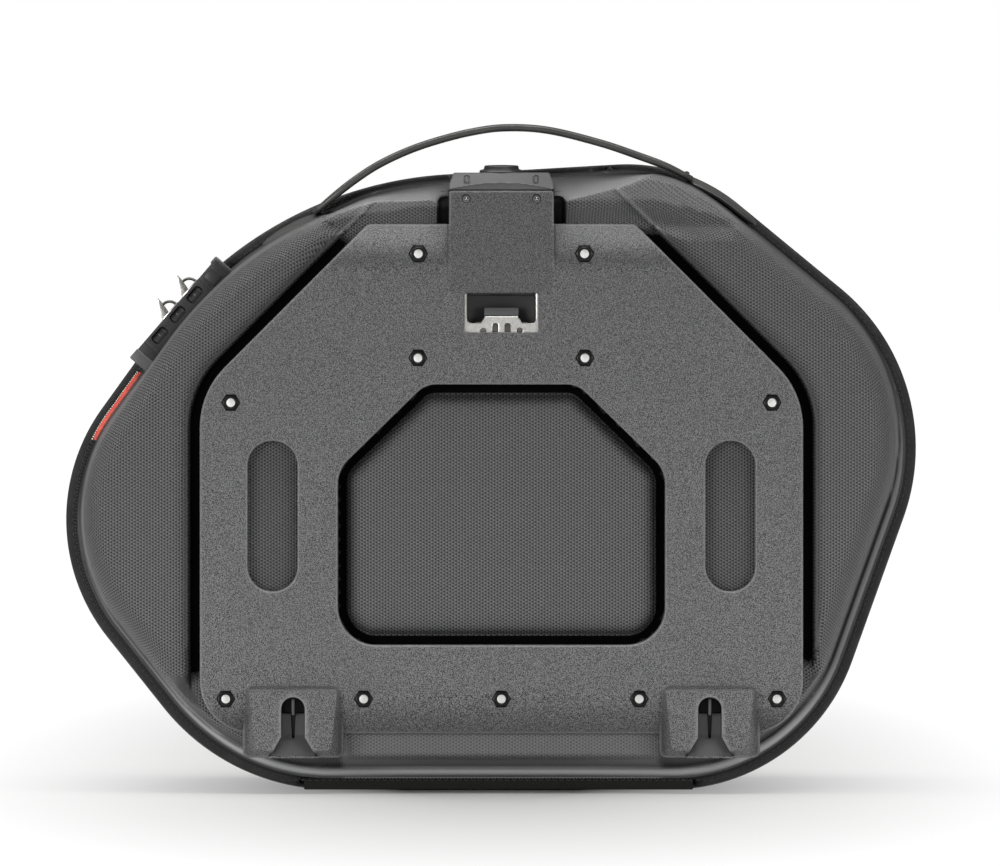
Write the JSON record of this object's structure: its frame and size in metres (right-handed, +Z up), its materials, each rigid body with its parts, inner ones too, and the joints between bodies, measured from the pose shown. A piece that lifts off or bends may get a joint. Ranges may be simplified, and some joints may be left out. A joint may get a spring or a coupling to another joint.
{
  "type": "saddlebag",
  "caption": "Semi-rigid clamshell motorcycle saddlebag with a bolted mounting plate, release lock, zip with combination lock and a carry strap.",
  "frame": {"origin": "centre of the bag's footprint, on the ground plane under its base", "axes": "+Z up as the bag stands; -Y is the mounting side that faces the motorcycle; +Y is the outer cover; +X is to the right as seen from the mounting side"},
  "size_m": [0.4501, 0.215, 0.3522],
  "materials": {
    "shell": "thermoformed foam laminate faced with woven-look fabric",
    "moulded": "glass-filled moulding with a fine speckle grain",
    "smooth": "satin smooth moulding",
    "zip_fabric": "coated woven zip tape",
    "base_fabric": "coarse plain weave",
    "gusset_fabric": "plain woven nylon",
    "strap": "satin rubber over webbing",
    "bright_steel": "zinc-plated bright",
    "black_steel": "black oxide",
    "red": "satin red tag"
  },
  "bodies": {
    "rear": {"rear_shell": "shell", "mounting_plate": "moulded", "plate_nut_01": "black_steel", "plate_nut_02": "black_steel", "plate_nut_03": "black_steel", "plate_nut_04": "black_steel", "plate_nut_05": "black_steel", "plate_nut_06": "black_steel", "plate_nut_07": "black_steel", "plate_nut_08": "black_steel", "plate_nut_09": "black_steel", "plate_nut_10": "black_steel", "plate_nut_11": "black_steel", "plate_bolt_01": "bright_steel", "plate_bolt_02": "bright_steel", "plate_bolt_03": "bright_steel", "plate_bolt_04": "bright_steel", "plate_bolt_05": "bright_steel", "plate_bolt_06": "bright_steel", "plate_bolt_07": "bright_steel", "plate_bolt_08": "bright_steel", "plate_bolt_09": "bright_steel", "plate_bolt_10": "bright_steel", "plate_bolt_11": "bright_steel", "backing_plate": "smooth", "hook_insert_left": "smooth", "hook_insert_right": "smooth", "lock_cap": "moulded", "cap_screw_left": "black_steel", "cap_screw_right": "black_steel", "latch_pocket": "smooth", "latch_spring": "bright_steel", "zip_tape_rear": "zip_fabric", "base_strip_rear": "base_fabric", "red_tab": "red", "side_gusset_left": "gusset_fabric", "side_gusset_right": "gusset_fabric", "combination_lock_body": "smooth", "dial_axle": "bright_steel", "handle_end_left": "strap", "handle_end_right": "strap", "handle_anchor_left": "strap", "handle_anchor_right": "strap"},
    "cover": {"cover_shell": "shell", "zip_tape_cover": "zip_fabric", "base_strip_cover": "base_fabric"},
    "release": {"lock_button": "smooth", "latch_pushrod": "bright_steel", "latch_plate": "bright_steel"},
    "key": {"key_cylinder": "bright_steel"},
    "dial_1": {"lock_dial_1": "black_steel"},
    "dial_2": {"lock_dial_2": "black_steel"},
    "dial_3": {"lock_dial_3": "black_steel"},
    "lock_slider": {"lock_release": "smooth"},
    "slider_lower": {"zip_slider_lower": "bright_steel"},
    "slider_upper": {"zip_slider_upper": "bright_steel"},
    "puller_lower": {"zip_puller_lower": "bright_steel"},
    "puller_upper": {"zip_puller_upper": "bright_steel"},
    "handle": {"carry_handle": "strap"}
  },
  "joints": [
    {"name": "cover_open", "type": "hinge", "parent": "rear", "child": "cover", "pos_m": [0, -0.046, 0], "axis": [-1, 0, 0], "range_deg": [0, 65], "deforming": ["side_gusset_left", "side_gusset_right"]},
    {"name": "release_press", "type": "slide", "parent": "rear", "child": "release", "axis": [0, 0, -1], "range_m": [0, 0.005], "stiffness_N_per_m": 400, "springref_m": -0.003, "deforming": ["latch_spring"]},
    {"name": "key_turn", "type": "hinge", "parent": "release", "child": "key", "pos_m": [0.0055, -0.082, 0.3285], "axis": [0, 0, 1], "range_deg": [0, 90]},
    {"name": "dial_1_turn", "type": "hinge", "parent": "rear", "child": "dial_1", "pos_m": [-0.17386, -0.0668, 0.23971], "axis": [0.6521, 0, 0.7581], "continuous": true},
    {"name": "dial_2_turn", "type": "hinge", "parent": "rear", "child": "dial_2", "pos_m": [-0.1644, -0.0668, 0.2507], "axis": [0.6521, 0, 0.7581], "continuous": true},
    {"name": "dial_3_turn", "type": "hinge", "parent": "rear", "child": "dial_3", "pos_m": [-0.1554, -0.0668, 0.26116], "axis": [0.6521, 0, 0.7581], "continuous": true},
    {"name": "lock_release_slide", "type": "slide", "parent": "rear", "child": "lock_slider", "axis": [0.6521, 0, 0.7581], "range_m": [0, 0.0045], "stiffness_N_per_m": 60},
    {"name": "slider_lower_run", "type": "slide", "parent": "rear", "child": "slider_lower", "axis": [-0.599, 0, -0.8007], "range_m": [0, 0.06]},
    {"name": "slider_upper_run", "type": "hinge", "parent": "rear", "child": "slider_upper", "pos_m": [-0.01163, -0.046, 0.121], "axis": [0, 1, 0], "range_deg": [0, 38]},
    {"name": "puller_lower_swing", "type": "hinge", "parent": "slider_lower", "child": "puller_lower", "pos_m": [-0.17304, -0.046, 0.25338], "axis": [0, 1, 0], "range_deg": [-60, 25]},
    {"name": "puller_upper_swing", "type": "hinge", "parent": "slider_upper", "child": "puller_upper", "pos_m": [-0.16261, -0.046, 0.26551], "axis": [0, 1, 0], "range_deg": [-60, 25]},
    {"name": "handle_swing", "type": "hinge", "parent": "rear", "child": "handle", "pos_m": [0, -0.062, 0.331], "axis": [1, 0, 0], "range_deg": [-25, 25], "stiffness_Nm_per_rad": 0.15}
  ]
}
